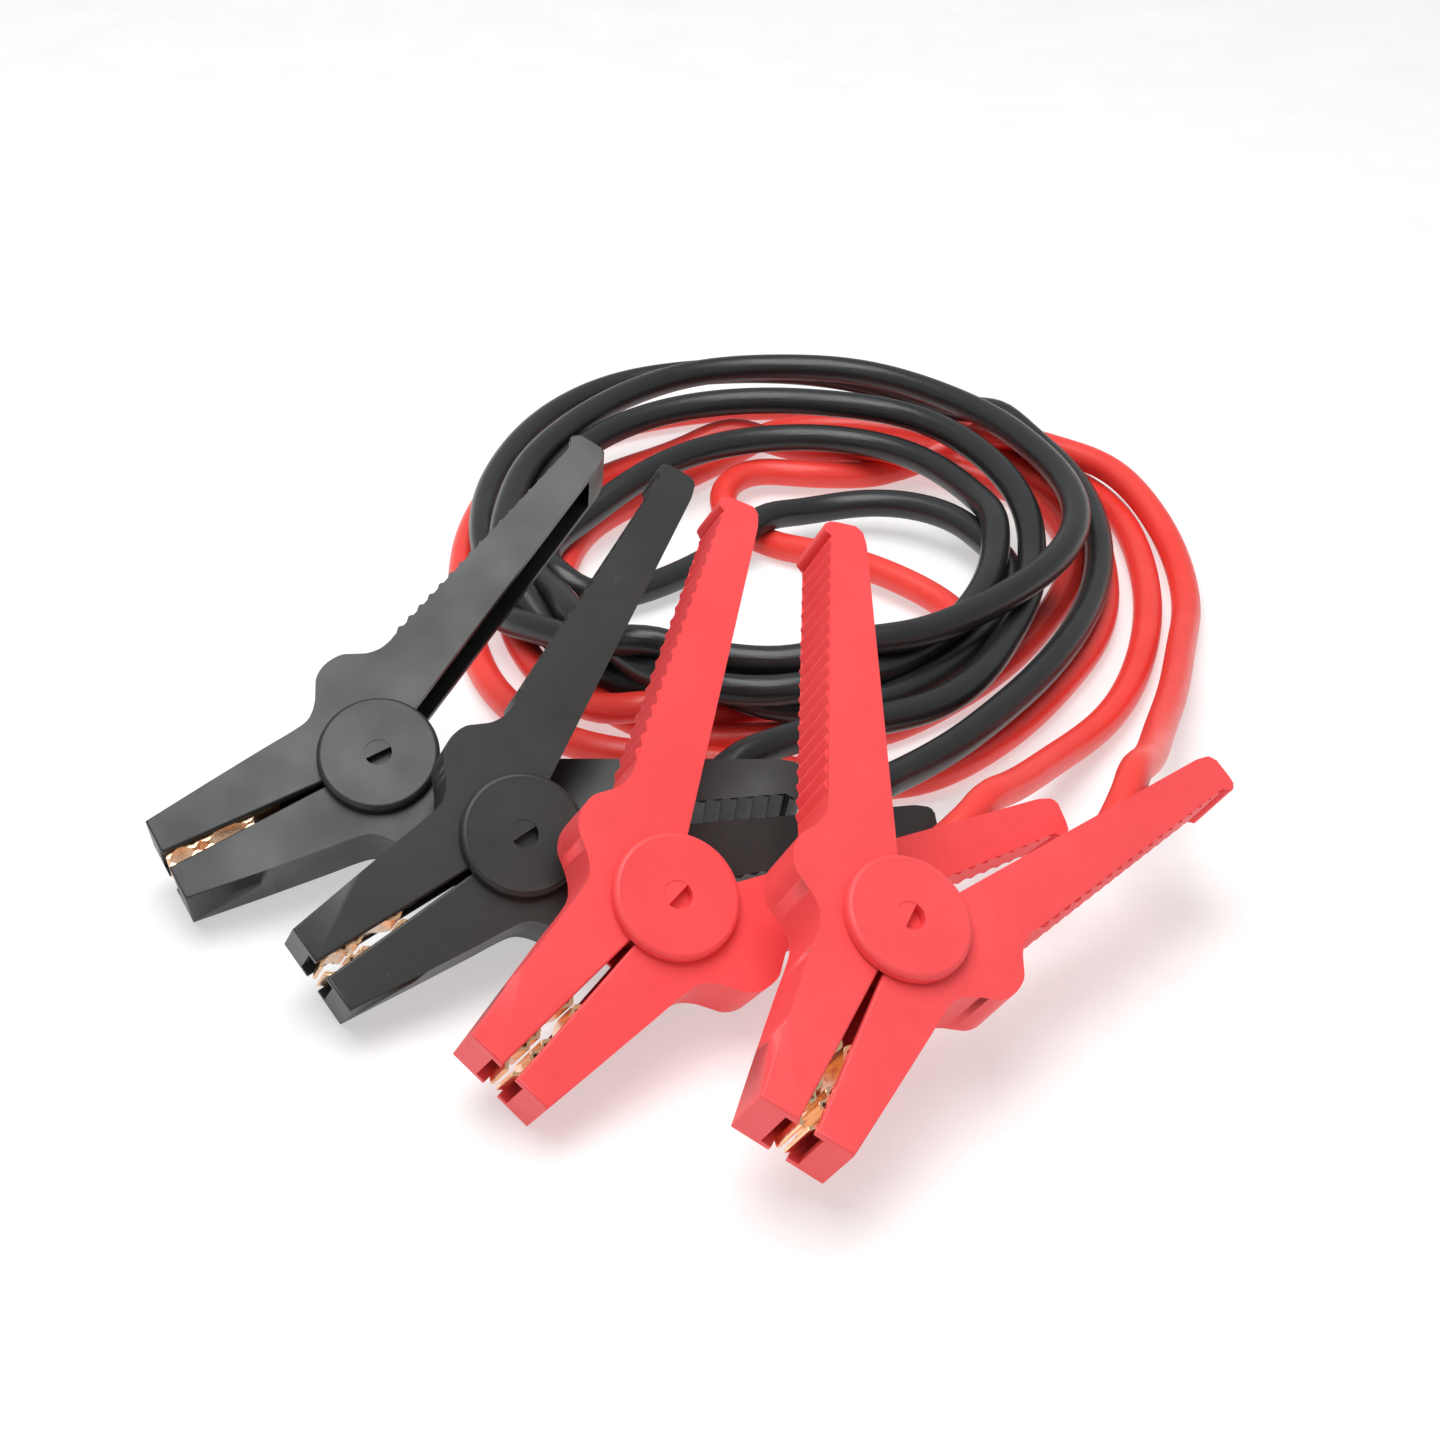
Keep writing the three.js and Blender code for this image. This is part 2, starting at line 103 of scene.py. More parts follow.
RED_ROUTE = [
    (30, -26.6, 24.4), (48.3, -14.9, 24.6), (66.9, -3.4, 24.4), (79.8, 9.2, 27.3), (87.7, 22.1, 27.3),
    (96.4, 35.4, 22.4), (104.1, 48.6, 18), (112.6, 64.1, 13.2), (122.3, 79.6, 9.2),
    (133.8, 97.6, 6.7), (146.8, 127.6, 5.4),
    (156.8, 169.6, 5.4), (158.8, 209.6, 5.4), (155.8, 236.6, 5.4), (146.8, 260.6, 5.4), (128.2, 280.1, 5.4),
    (116.1, 294.9, 5.4), (98, 311, 5.5), (70, 325, 5.5), (35, 330, 5.5), (0, 326, 5.5), (-32, 312, 5.5),
    (-58, 288, 5.5), (-74, 258, 5.5), (-80.6, 220, 6), (-81, 200.2, 5.5), (-78.6, 174.6, 5.5),
    (-73.6, 147.5, 5.5), (-64.8, 119.2, 5.5), (-53.2, 100.8, 5.5), (-37, 85.4, 5.5), (-15.3, 78, 5.5),
    (9.8, 73.9, 5.5), (34.7, 68.3, 5.5), (54.2, 61.6, 5.5), (71.7, 64.4, 5.5), (88.8, 77.3, 5.5),
    (105.7, 96.1, 5.5), (122.8, 123, 5.5), (135.8, 148.8, 5.5), (142.6, 174.6, 5.5), (144.8, 200.2, 5.5),
    (143.1, 227, 5.5), (135.7, 252.1, 5.5), (122, 278.3, 5.5), (102.2, 297, 5.5), (79.8, 308.5, 5.5),
    (56.6, 313.4, 5.5), (33.1, 309.2, 5.5), (15.9, 291.8, 5.5), (0.7, 274.3, 5.5), (-16.9, 254.6, 5.5),
    (-34, 234.7, 5.5), (-43.8, 212, 5.5), (-47.7, 185.8, 5.5), (-45.9, 158.1, 5.5), (-39.2, 131.9, 5.5),
    (-26.5, 109.3, 5.5), (-8.1, 94.9, 5.5), (14.9, 90.1, 5.5), (41.6, 90.1, 5.5), (64.8, 96.1, 5.5),
    (83.8, 110.6, 5.5), (102.6, 131.9, 5.5), (118.6, 158.1, 5.5), (130.5, 185.8, 5.5), (135.8, 213.4, 5.5),
    (130.3, 242.6, 5.5), (114.5, 263.4, 5.5), (92.8, 273.6, 7), (70.1, 274.7, 9), (47.8, 284.8, 9),
    (25.1, 290.2, 8), (2.2, 286.8, 8), (-20.4, 275, 8), (-42.1, 253.7, 8), (-56.8, 228.5, 8),
    (-63, 201.5, 8), (-63.2, 173, 8), (-57.1, 143.3, 8), (-45, 117.7, 8), (-25.9, 96.1, 10),
    (-2.9, 93.3, 11), (22.6, 101.7, 8), (46.1, 109.8, 6), (64.8, 120.9, 6), (80.1, 133.6, 6),
    (90.5, 147.9, 6), (93, 161.3, 6), (87.3, 169.2, 7), (79, 179.1, 8), (63.2, 194.2, 8), (46.8, 206.8, 7),
    (34.1, 214, 6), (22.1, 222.5, 6), (13.9, 233.5, 7), (10.5, 247.3, 8), (15, 260.8, 9), (26.3, 269.7, 9),
    (36, 266, 8), (58, 270, 7), (79, 278, 6.3), (98, 288, 7.5), (113, 289, 10.5), (126, 281, 13.5),
    (137, 271, 15.2), (149.8, 262.6, 15.6), (161.3, 240.6, 14), (169.8, 213.6, 8.8), (170.8, 175.6, 5.6),
    (163.8, 141.6, 8.2), (154.3, 100.6, 14.7), (143.8, 64.5, 22.3), (139.8, 48.6, 27), (135, 33, 33.2),
    (129, 17.3, 39.8), (124.5, 3.3, 40.3), (116.2, -12.3, 36.8), (100.9, -28, 36.2), (85.9, -43.7, 35.4),
]

# %% [markdown]
# A list of points is only a plan. Real cables rest on the floor and on each other and never pass through one
# another, and they are too stiff for a kink. A short relaxation gives them that: every step pushes apart the
# stretches that come closer than one diameter, smooths the bends, and pulls each point back a little to its
# plan. Nothing in it is random, so every run gives the same coil.

# %% Lay the cables on the floor and on each other
CABLE = 10.0  # outer diameter, mm
STEP = 6.0  # distance between two points while the cables settle, mm


def evenly(points, step):
    """Points at even distances on a smooth curve through the given ones."""
    p = np.vstack([2 * points[0] - points[1], points, 2 * points[-1] - points[-2]])
    fine = []
    for i in range(1, len(p) - 2):
        a, b, c, d = p[i - 1 : i + 3]
        ka, kb, kc = (max(np.linalg.norm(v), 1e-6) ** 0.5 for v in (b - a, c - b, d - c))
        m1 = (b - a) / ka - (c - a) / (ka + kb) + (c - b) / kb
        m2 = (c - b) / kb - (d - b) / (kb + kc) + (d - c) / kc
        t = np.linspace(0, 1, 24, endpoint=False)[:, None]
        fine.append(
            (2 * t**3 - 3 * t**2 + 1) * b
            + (t**3 - 2 * t**2 + t) * m1 * kb
            + (3 * t**2 - 2 * t**3) * c
            + (t**3 - t**2) * m2 * kb
        )
    fine = np.vstack(fine + [points[-1][None]])
    along = np.r_[0, np.cumsum(np.linalg.norm(np.diff(fine, axis=0), axis=1))]
    at = np.linspace(0, along[-1], int(round(along[-1] / step)) + 1)
    return np.column_stack([np.interp(at, along, fine[:, k]) for k in range(3)])


def settle(cables, rounds=260, held=16):
    """Push the cables apart, smooth them and keep them on the floor, with their ends held in the handles."""
    ends = np.cumsum([0] + [len(c) for c in cables])
    plan = np.vstack(cables)
    x = plan.copy()
    number = np.arange(len(x))
    cable_of = np.searchsorted(ends, number, side="right")
    still = np.zeros(len(x), bool)
    for a, b in zip(ends[:-1], ends[1:]):
        still[a : a + held] = True
        still[b - held : b] = True
    for turn in range(rounds):
        if turn % 4 == 0:  # the neighbours change slowly, so they are looked up every fourth round
            gap = np.linalg.norm(x[:, None] - x[None], axis=2)
            i, j = np.where(np.triu(gap < CABLE * 1.3, 1))
            own = (cable_of[i] == cable_of[j]) & (j - i < 4)
            i, j = i[~own], j[~own]
        apart = x[j] - x[i]
        far = np.maximum(np.linalg.norm(apart, axis=1), 1e-6)
        push = np.maximum(CABLE - far, 0) / 2
        push = apart / far[:, None] * push[:, None]
        touch = far < CABLE
        move = np.zeros_like(x)
        count = np.zeros(len(x))
        np.add.at(move, i[touch], -push[touch])
        np.add.at(move, j[touch], push[touch])
        np.add.at(count, i[touch], 1)
        np.add.at(count, j[touch], 1)
        x2 = x + move / np.maximum(count, 1)[:, None]
        for a, b in zip(ends[:-1], ends[1:]):
            s = x2[a:b].copy()
            x2[a + 2 : b - 2] += 0.25 * ((4 * s[1:-3] + 4 * s[3:-1] - s[:-4] - s[4:]) / 6 - s[2:-2])
        x2 += 0.01 * (plan - x2)
        x2[:, 2] = np.maximum(x2[:, 2], CABLE / 2 + 0.05)
        x = np.where(still[:, None], plan, x2)
    return [x[a:b] for a, b in zip(ends[:-1], ends[1:])]


black_line, red_line = settle([evenly(np.array(r, float), STEP) for r in (BLACK_ROUTE, RED_ROUTE)])
for name, line in (("black", black_line), ("red", red_line)):
    print(name, "cable:", round(np.linalg.norm(np.diff(line, axis=0), axis=1).sum() / 1000, 2), "m")

# %% [markdown]
# The settled line is drawn as rings of points, each square to the line, with faces from ring to ring. Each ring
# takes its upward direction from the one before, so the tube doesn't twist where the cable turns.

# %% Draw the cables as tubes
AROUND = 20  # sides of the tube


def tube_mesh(name, points, radius, sides):
    """A tube of rings along the points, in metres. UV: u along it in metres, v once around it."""
    bm = bmesh.new()
    uv = bm.loops.layers.uv.new("along")
    forward = np.gradient(points, axis=0)
    forward /= np.linalg.norm(forward, axis=1)[:, None]
    up = np.array([0.0, 0.0, 1.0])
    rings = []
    for p, f in zip(points, forward):
        up = up - f * (up @ f)
        up /= np.linalg.norm(up)
        side = np.cross(f, up)
        rings.append(
            [
                bm.verts.new(p + radius * (math.cos(a) * side + math.sin(a) * up))
                for a in np.linspace(0, 2 * math.pi, sides, endpoint=False)
            ]
        )
    along = np.r_[0, np.cumsum(np.linalg.norm(np.diff(points, axis=0), axis=1))]
    for i in range(len(rings) - 1):
        for k in range(sides):
            n = (k + 1) % sides
            face = bm.faces.new((rings[i][k], rings[i][n], rings[i + 1][n], rings[i + 1][k]))
            face.smooth = True
            for loop, (u, v) in zip(face.loops, ((i, k), (i, k + 1), (i + 1, k + 1), (i + 1, k))):
                loop[uv].uv = (along[u], v / sides)
    bm.faces.new(rings[0][::-1])
    bm.faces.new(rings[-1])
    bmesh.ops.recalc_face_normals(bm, faces=bm.faces)
    mesh = bpy.data.meshes.new(name)
    bm.to_mesh(mesh)
    bm.free()
    return mesh


def place(name, mesh):
    """A new object at the origin, with its place in its mesh."""
    piece = bpy.data.objects.new(name, mesh)
    bpy.context.scene.collection.objects.link(piece)
    return piece


RING_STEP = 4.0  # distance between two rings, mm
black_points = evenly(black_line, RING_STEP) * MM
red_points = evenly(red_line, RING_STEP) * MM
black_cable = place("black_cable", tube_mesh("black_cable", black_points, CABLE / 2 * MM, AROUND))
red_cable = place("red_cable", tube_mesh("red_cable", red_points, CABLE / 2 * MM, AROUND))
print("cable rings:", len(black_points), len(red_points))

# %% [markdown]
# Each cable moves with the root body, and the CAD parts that it stands for are hidden. Both of its ends go into
# a handle, so neither end leaves the object.

for piece, points, nodes, slot in (
    (black_cable, black_points, ("black_lead_1", "black_lead_2", "black_coil"), "black_cable"),
    (red_cable, red_points, ("red_lead_3", "red_lead_4", "red_coil"), "red_cable"),
):
    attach(piece, "root")
    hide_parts(*nodes)

# %% [markdown]
# ## Finishes
#
# The same three effects return on several pieces, so each is a node group that is built once: the fine grain
# that a spark-eroded mould leaves on plastic, slow changes of tone where the melt flowed, and the faint lines
# that the die draws along a cable's sheath. They only put out values that change over the surface. Constant
# values, such as whether a surface is metal, are set on the shader itself.

# %% Node helpers
def node_group(name, inputs, outputs):
    """An empty shader node group with named value inputs and outputs."""
    group = bpy.data.node_groups.new(name, "ShaderNodeTree")
    for label, value in inputs:
        kind = "NodeSocketColor" if isinstance(value, tuple) else "NodeSocketFloat"
        socket = group.interface.new_socket(label, in_out="INPUT", socket_type=kind)
        socket.default_value = value
    for label, kind in outputs:
        group.interface.new_socket(label, in_out="OUTPUT", socket_type=kind)
    return group, group.nodes.new("NodeGroupInput"), group.nodes.new("NodeGroupOutput")


def wire(tree, *pairs):
    """Link sockets two by two."""
    for out_socket, in_socket in pairs:
        tree.links.new(out_socket, in_socket)


def noise(tree, where, scale, detail=3.0, roughness=0.55):
    """A noise texture at a fixed scale, read at the given coordinates."""
    node = tree.nodes.new("ShaderNodeTexNoise")
    node.inputs["Scale"].default_value = scale
    node.inputs["Detail"].default_value = detail
    node.inputs["Roughness"].default_value = roughness
    tree.links.new(where, node.inputs["Vector"])
    return node.outputs["Fac"]


def spread(tree, value, low, high, to_low, to_high):
    """Map a value from one range to another, clamped."""
    node = tree.nodes.new("ShaderNodeMapRange")
    for label, number in zip(("From Min", "From Max", "To Min", "To Max"), (low, high, to_low, to_high)):
        if hasattr(number, "is_linked"):
            tree.links.new(number, node.inputs[label])
        else:
            node.inputs[label].default_value = number
    tree.links.new(value, node.inputs["Value"])
    return node.outputs["Result"]


# %% [markdown]
# The grain is a very fine noise, which goes to the bump. A second, slow noise moves the roughness between two
# values, because hands polish a moulding in some places more than in others.

# %% The mould's grain
def build_grain():
    group, start, end = node_group(
        "mould grain",
        [("Fineness", 2600.0), ("Rough low", 0.4), ("Rough high", 0.55)],
        [("Height", "NodeSocketFloat"), ("Roughness", "NodeSocketFloat")],
    )
    place_of = group.nodes.new("ShaderNodeTexCoord").outputs["Object"]
    fine = group.nodes.new("ShaderNodeTexNoise")
    fine.inputs["Detail"].default_value = 2.0
    wire(group, (place_of, fine.inputs["Vector"]), (start.outputs["Fineness"], fine.inputs["Scale"]))
    slow = noise(group, place_of, 38.0, 2.0)
    patch = spread(group, slow, 0.35, 0.65, start.outputs["Rough low"], start.outputs["Rough high"])
    wire(group, (fine.outputs["Fac"], end.inputs["Height"]), (patch, end.inputs["Roughness"]))
    return group


GRAIN = build_grain()
print("group:", GRAIN.name)


# %% [markdown]
# The tone drifts slowly between two colours that lie close together. Small pale specks stand for scuffs, and an
# input says how strongly they show.

# %% Slow changes of tone
def build_tone():
    group, start, end = node_group(
        "flow tone",
        [("Main", (0.5, 0.5, 0.5, 1.0)), ("Light", (0.6, 0.6, 0.6, 1.0)), ("Scuffs", 0.0)],
        [("Color", "NodeSocketColor")],
    )
    place_of = group.nodes.new("ShaderNodeTexCoord").outputs["Object"]
    flow = spread(group, noise(group, place_of, 22.0, 8.0, 0.75), 0.3, 0.7, 0.0, 1.0)
    mix = group.nodes.new("ShaderNodeMix")
    mix.data_type = "RGBA"
    wire(group, (flow, mix.inputs[0]), (start.outputs["Main"], mix.inputs[6]), (start.outputs["Light"], mix.inputs[7]))
    specks = spread(group, noise(group, place_of, 420.0, 5.0, 0.7), 0.66, 0.74, 0.0, 1.0)
    strength = group.nodes.new("ShaderNodeMath")
    strength.operation = "MULTIPLY"
    scuffed = group.nodes.new("ShaderNodeMix")
    scuffed.data_type = "RGBA"
    scuffed.blend_type = "SCREEN"
    scuffed.inputs[7].default_value = (0.5, 0.5, 0.5, 1.0)
    wire(
        group,
        (specks, strength.inputs[0]),
        (start.outputs["Scuffs"], strength.inputs[1]),
        (strength.outputs[0], scuffed.inputs[0]),
        (mix.outputs[2], scuffed.inputs[6]),
        (scuffed.outputs[2], end.inputs["Color"]),
    )
    return group


TONE = build_tone()
print("group:", TONE.name)


# %% [markdown]
# The sheath reads the cable's UV map, so its lines follow the cable through every bend. The map's first direction
# is in metres and its second goes from 0 to 1 around the cable, so the two are scaled differently.

# %% The sheath's drawing lines
def build_sheath():
    group, start, end = node_group(
        "sheath lines",
        [("Rough low", 0.3), ("Rough high", 0.5)],
        [("Height", "NodeSocketFloat"), ("Roughness", "NodeSocketFloat")],
    )
    uv = group.nodes.new("ShaderNodeUVMap")
    uv.uv_map = "along"
    stretch = group.nodes.new("ShaderNodeMapping")
    stretch.inputs["Scale"].default_value = (26.0, 9.0, 1.0)
    wire(group, (uv.outputs["UV"], stretch.inputs["Vector"]))
    lines = noise(group, stretch.outputs["Vector"], 3.0, 4.0)
    place_of = group.nodes.new("ShaderNodeTexCoord").outputs["Object"]
    skin = noise(group, place_of, 900.0, 2.0)
    both = group.nodes.new("ShaderNodeMath")
    both.operation = "MULTIPLY_ADD"
    both.inputs[1].default_value = 0.25
    slow = noise(group, place_of, 30.0, 3.0)
    patch = spread(group, slow, 0.35, 0.7, start.outputs["Rough low"], start.outputs["Rough high"])
    wire(
        group,
        (skin, both.inputs[0]),
        (lines, both.inputs[2]),
        (both.outputs[0], end.inputs["Height"]),
        (patch, end.inputs["Roughness"]),
    )
    return group


SHEATH = build_sheath()
print("group:", SHEATH.name)


# %% [markdown]
# Three kinds of surface are enough: moulded plastic, soft sheath and bare metal. Each kind is a function, and
# the six finishes differ only in the values that they give it.

# %% The materials
def new_material(name, preview):
    """An empty material with its tree and its shader."""
    material = bpy.data.materials.new(name)
    material.use_nodes = True
    material.diffuse_color = preview
    tree = material.node_tree
    return material, tree, tree.nodes["Principled BSDF"]


def use_group(tree, group, **values):
    """A group in a material's tree, with values for its inputs."""
    node = tree.nodes.new("ShaderNodeGroup")
    node.node_tree = group
    for label, value in values.items():
        node.inputs[label.replace("_", " ")].default_value = value
    return node


def add_bump(tree, shader, height, strength, distance):
    """Let a height shape the surface, with its depth in metres."""
    bump = tree.nodes.new("ShaderNodeBump")
    bump.inputs["Strength"].default_value = strength
    bump.inputs["Distance"].default_value = distance
    wire(tree, (height, bump.inputs["Height"]), (bump.outputs["Normal"], shader.inputs["Normal"]))


def plastic(name, main, light, rough, scuffs, specular=0.5):
    """Moulded plastic: tone from the flow, grain from the mould."""
    material, tree, shader = new_material(name, main)
    shader.inputs["Specular IOR Level"].default_value = specular
    tone = use_group(tree, TONE, Main=main, Light=light, Scuffs=scuffs)
    grain = use_group(tree, GRAIN, Fineness=2400.0, Rough_low=rough[0], Rough_high=rough[1])
    wire(
        tree,
        (tone.outputs["Color"], shader.inputs["Base Color"]),
        (grain.outputs["Roughness"], shader.inputs["Roughness"]),
    )
    add_bump(tree, shader, grain.outputs["Height"], 0.35, 0.00006)
    return material


def sheath(name, main, light, rough):
    """Soft PVC: satin, with faint lines along the cable."""
    material, tree, shader = new_material(name, main)
    tone = use_group(tree, TONE, Main=main, Light=light, Scuffs=0.0)
    lines = use_group(tree, SHEATH, Rough_low=rough[0], Rough_high=rough[1])
    wire(
        tree,
        (tone.outputs["Color"], shader.inputs["Base Color"]),
        (lines.outputs["Roughness"], shader.inputs["Roughness"]),
    )
    add_bump(tree, shader, lines.outputs["Height"], 0.5, 0.00025)
    return material


def metal(name, main, light, rough, bump):
    """Bare metal: tarnish in the tone, rolling marks in the bump."""
    material, tree, shader = new_material(name, main)
    shader.inputs["Metallic"].default_value = 1.0
    tone = use_group(tree, TONE, Main=main, Light=light, Scuffs=0.0)
    grain = use_group(tree, GRAIN, Fineness=900.0, Rough_low=rough[0], Rough_high=rough[1])
    wire(
        tree,
        (tone.outputs["Color"], shader.inputs["Base Color"]),
        (grain.outputs["Roughness"], shader.inputs["Roughness"]),
    )
    add_bump(tree, shader, grain.outputs["Height"], bump, 0.0001)
    return material


# The red moulding mirrors a little less than the black one.
FINISH = {
    "black_plastic": plastic(
        "black_plastic", (0.012, 0.0132, 0.0128, 1), (0.026, 0.028, 0.027, 1), (0.36, 0.5), 0.08
    ),
    "red_plastic": plastic("red_plastic", (0.82, 0.066, 0.07, 1), (0.92, 0.09, 0.094, 1), (0.38, 0.5), 0.04, 0.35),
    "black_cable": sheath("black_cable", (0.012, 0.013, 0.014, 1), (0.017, 0.019, 0.02, 1), (0.27, 0.36)),
    "red_cable": sheath("red_cable", (0.82, 0.04, 0.03, 1), (0.92, 0.062, 0.046, 1), (0.3, 0.4)),
    "copper": metal("copper", (0.93, 0.5, 0.27, 1), (0.98, 0.68, 0.42, 1), (0.16, 0.3), 0.4),
    "steel": metal("steel", (0.5, 0.5, 0.5, 1), (0.6, 0.6, 0.6, 1), (0.25, 0.4), 0.3),
}
for piece, slot in ((black_cable, "black_cable"), (red_cable, "red_cable")):
    piece.data.materials.clear()
    piece.data.materials.append(FINISH[slot])
print("materials:", ", ".join(FINISH))

# %% [markdown]
# ## The clamp's moulded halves
#
# Jaw, finger guard and handle are one moulding: a flat shape with the same outline all through its 20 mm
# thickness, hollow and open on the inner side. So each half starts as an outline in two directions, u towards
# the nose and v across the jaws. It is filled, its rims are rounded, and the hollow is cut out of it. Modelling
# it by hand from a box would give the same shape with more steps, and an outline keeps the sizes readable.

# %% Sizes of a clamp, in millimetres
NOSE = 67.3  # pivot to the end of the jaws
NOSE_HALF = 13.5  # centre line to the outer edge at the nose
JAW_HALF = 19.0  # the same beside the cover disc
GAP_NOSE = 2.5  # half of the gap at the nose
THICK = 20.0  # front face to back face
WALL = 2.2  # thickness of the moulding
END_WALL = 2.6  # the same at the nose and at the handle's tip
NOSE_NOTCH = 3.0  # depth of the notch in the nose, where the contact plates meet
HANDLE = 107.7  # pivot to the handle's tip
TIP_OUT, TIP_IN = 65.5, 55.8  # centre line to the outer and the inner edge of the tip
GUARD = 34.6  # centre line to the top of the finger guard
WAIST = 31.2  # the same behind it, where the handle starts
LIP, LIP_LONG = 2.6, 3.6  # height and length of the lip behind the ribs
RIBS, RIB_HIGH = 18, 1.1  # number and height of the ribs
DISC_R, DISC_HIGH, BACK_HIGH = 17.8, 3.4, 2.6  # radius of the cover discs, and how far they stand out
RIM_R = 1.6  # rounding of their rims
RECESS_R, RECESS_DEEP, RING_DEEP = 4.0, 3.2, 0.27  # half-moon in the front disc, and the shallow ring it lies in
PIN_R, RUN = 3.6, 0.3  # radius of the pin, and the play of parts that run on each other
EAR_R, EAR_T = 11.4, 3.0  # radius and thickness of the ears that lie on the pin

# Number, colour, where the pin is, and how far the clamp is turned about z, y and x, in degrees.
CLAMPS = (
    (1, "black", (-99.1, 631.9, 38.3), (-152.7, 12.9, -31.1)),
    (2, "black", (-54.9, 591.6, 38.3), (-141.8, 12.9, -40.9)),
    (3, "red", (-12.2, 559.3, 40.8), (-129.2, 15.0, -37.2)),
    (4, "red", (47.6, 536.1, 50.6), (-113.8, 14.4, -30.3)),
)
SHIFT = (9.8, -605.4, 0.25)  # the camera's foot, from which these places are measured


def pose(at, turn):
    """The clamp's own axes, in millimetres, to the row frame, in metres."""
    z, y, x = (math.radians(a) for a in turn)
    where = Matrix.Translation(Vector(at) + Vector(SHIFT))
    return Matrix.Scale(MM, 4) @ where @ Euler((x, y, z), "XYZ").to_matrix().to_4x4()


# %% [markdown]
# The outline is drawn once, for the upper half, with the pin at 0, 0. A smooth curve runs over the guard, and
# the corners at the tip are rounded one by one. The hollow has an outline of its own, one wall further in.

# %% The outline of a half
RIB_FROM = Vector((-22, WAIST + 2))
RIB_TO = Vector((-HANDLE + 4.2 + LIP_LONG, TIP_OUT))
ALONG = (RIB_TO - RIB_FROM).normalized()
OUTWARD = Vector((ALONG.y, -ALONG.x))
RIB_PITCH = (RIB_TO - RIB_FROM).length / RIBS


def smooth(points, steps):
    """A curve through the points."""
    p = [points[0] * 2 - points[1], *points, points[-1] * 2 - points[-2]]
    curve = []
    for a, b, c, d in zip(p, p[1:], p[2:], p[3:]):
        for k in range(steps):
            t = k / steps
            curve.append(
                0.5 * (2 * b + (c - a) * t + (2 * a - 5 * b + 4 * c - d) * t**2 + (3 * b - a - 3 * c + d) * t**3)
            )
    return curve + [points[-1]]


def rounded(points, radius, steps=4):
    """The same corners, each rounded."""
    curve = []
    for i, b in enumerate(points):
        a, c = points[i - 1], points[(i + 1) % len(points)]
        r = min(radius, (a - b).length * 0.4, (c - b).length * 0.4)
        start, end = b + (a - b).normalized() * r, b + (c - b).normalized() * r
        for k in range(steps + 1):
            t = k / steps
            curve.append(start * (1 - t) ** 2 + b * 2 * t * (1 - t) + end * t**2)
    return curve


GUARD_EDGE = [
    Vector(p)
    for p in (
        (DISC_R + 1.5, JAW_HALF), (13.6, JAW_HALF + 1), (10.6, JAW_HALF + 3), (8.2, JAW_HALF + 6),
        (6.6, GUARD - 6.6), (4.6, GUARD - 3.2), (1.6, GUARD - 1), (-1.8, GUARD), (-5.4, GUARD),
        (-8.8, GUARD - 1.5), (-12.2, WAIST + 0.4), (-16, WAIST), (-19.4, WAIST + 0.8),
    )
]
JAW_EDGE = [Vector((NOSE, NOSE_HALF)), Vector((NOSE - 21, 15.98)), Vector((NOSE - 40, JAW_HALF - 0.8))]
TIP = [
    RIB_TO + ALONG * 0.2 + OUTWARD * LIP,
    RIB_TO + ALONG * LIP_LONG + OUTWARD * LIP,
    Vector((-HANDLE + 3.4, TIP_OUT + 1)),
    Vector((-HANDLE, TIP_OUT - 6)),
    Vector((-HANDLE + 4.4, TIP_IN)),
]
ROOT = Vector((-DISC_R + 1.3, 9.2))


def half_outline():
    """Nose, jaw, finger guard, handle, tip, and back along the inner edge."""
    edge = [JAW_EDGE[0]] + smooth([JAW_EDGE[1], JAW_EDGE[2], *GUARD_EDGE, RIB_FROM], 5)
    corners = rounded([RIB_TO] + TIP + [ROOT], 1.6)[5:-5]
    start = math.pi - math.atan2(ROOT.y, -ROOT.x)
    arc = [start + (0.05 - start) * k / 16 for k in range(17)]
    drum = [Vector((math.cos(a), math.sin(a))) * (EAR_R + RUN * 2) for a in arc]
    return edge + [RIB_TO] + corners + [ROOT] + drum + [Vector((NOSE, GAP_NOSE))]


HOLLOW = [
    Vector(p)
    for p in (
        (NOSE - END_WALL, NOSE_HALF - WALL), (DISC_R + 1.5, JAW_HALF - WALL), (12, JAW_HALF + 1 - WALL),
        (7, JAW_HALF + 4.5 - WALL), (3.6, GUARD - 4.5 - WALL), (-1.8, GUARD - WALL - 0.6),
        (-7, GUARD - WALL - 2), (-13, WAIST - WALL - 0.4), (-21, WAIST + 1.2 - WALL),
    )
] + [
    RIB_TO + ALONG * (LIP_LONG - 1.6) - OUTWARD * WALL,
    Vector((-HANDLE + 4.4 + END_WALL * 0.9, TIP_IN - 1)),
    Vector((ROOT.x, ROOT.y - 9)),
    Vector((0, -2)),
    Vector((NOSE - END_WALL, -2)),
]
print("outline points:", len(half_outline()), "rib pitch:", round(RIB_PITCH, 2), "mm")


# %% [markdown]
# Two helpers make solids: one fills an outline and gives it a thickness, the other turns a profile about the pin.
# Booleans then cut out the hollow and add the round ears by which the two halves share the pin.

# %% Solids from outlines
def prism(outline, low, high, rim=0.0, segments=3):
    """The outline filled from w = low to w = high, with both rims rounded by rim."""
    bm = bmesh.new()
    bottom = [bm.verts.new((u, v, low)) for u, v in outline]
    top = [bm.verts.new((u, v, high)) for u, v in outline]
    bm.faces.new(bottom)
    bm.faces.new(top)
    for i in range(len(outline)):
        k = (i + 1) % len(outline)
        bm.faces.new((bottom[i], bottom[k], top[k], top[i]))
    if rim:
        rims = [e for e in bm.edges if abs(e.verts[0].co.z - e.verts[1].co.z) < 1e-6]
        bmesh.ops.bevel(bm, geom=rims, offset=rim, segments=segments, affect="EDGES", profile=0.5)
    bmesh.ops.recalc_face_normals(bm, faces=bm.faces)
    return bm


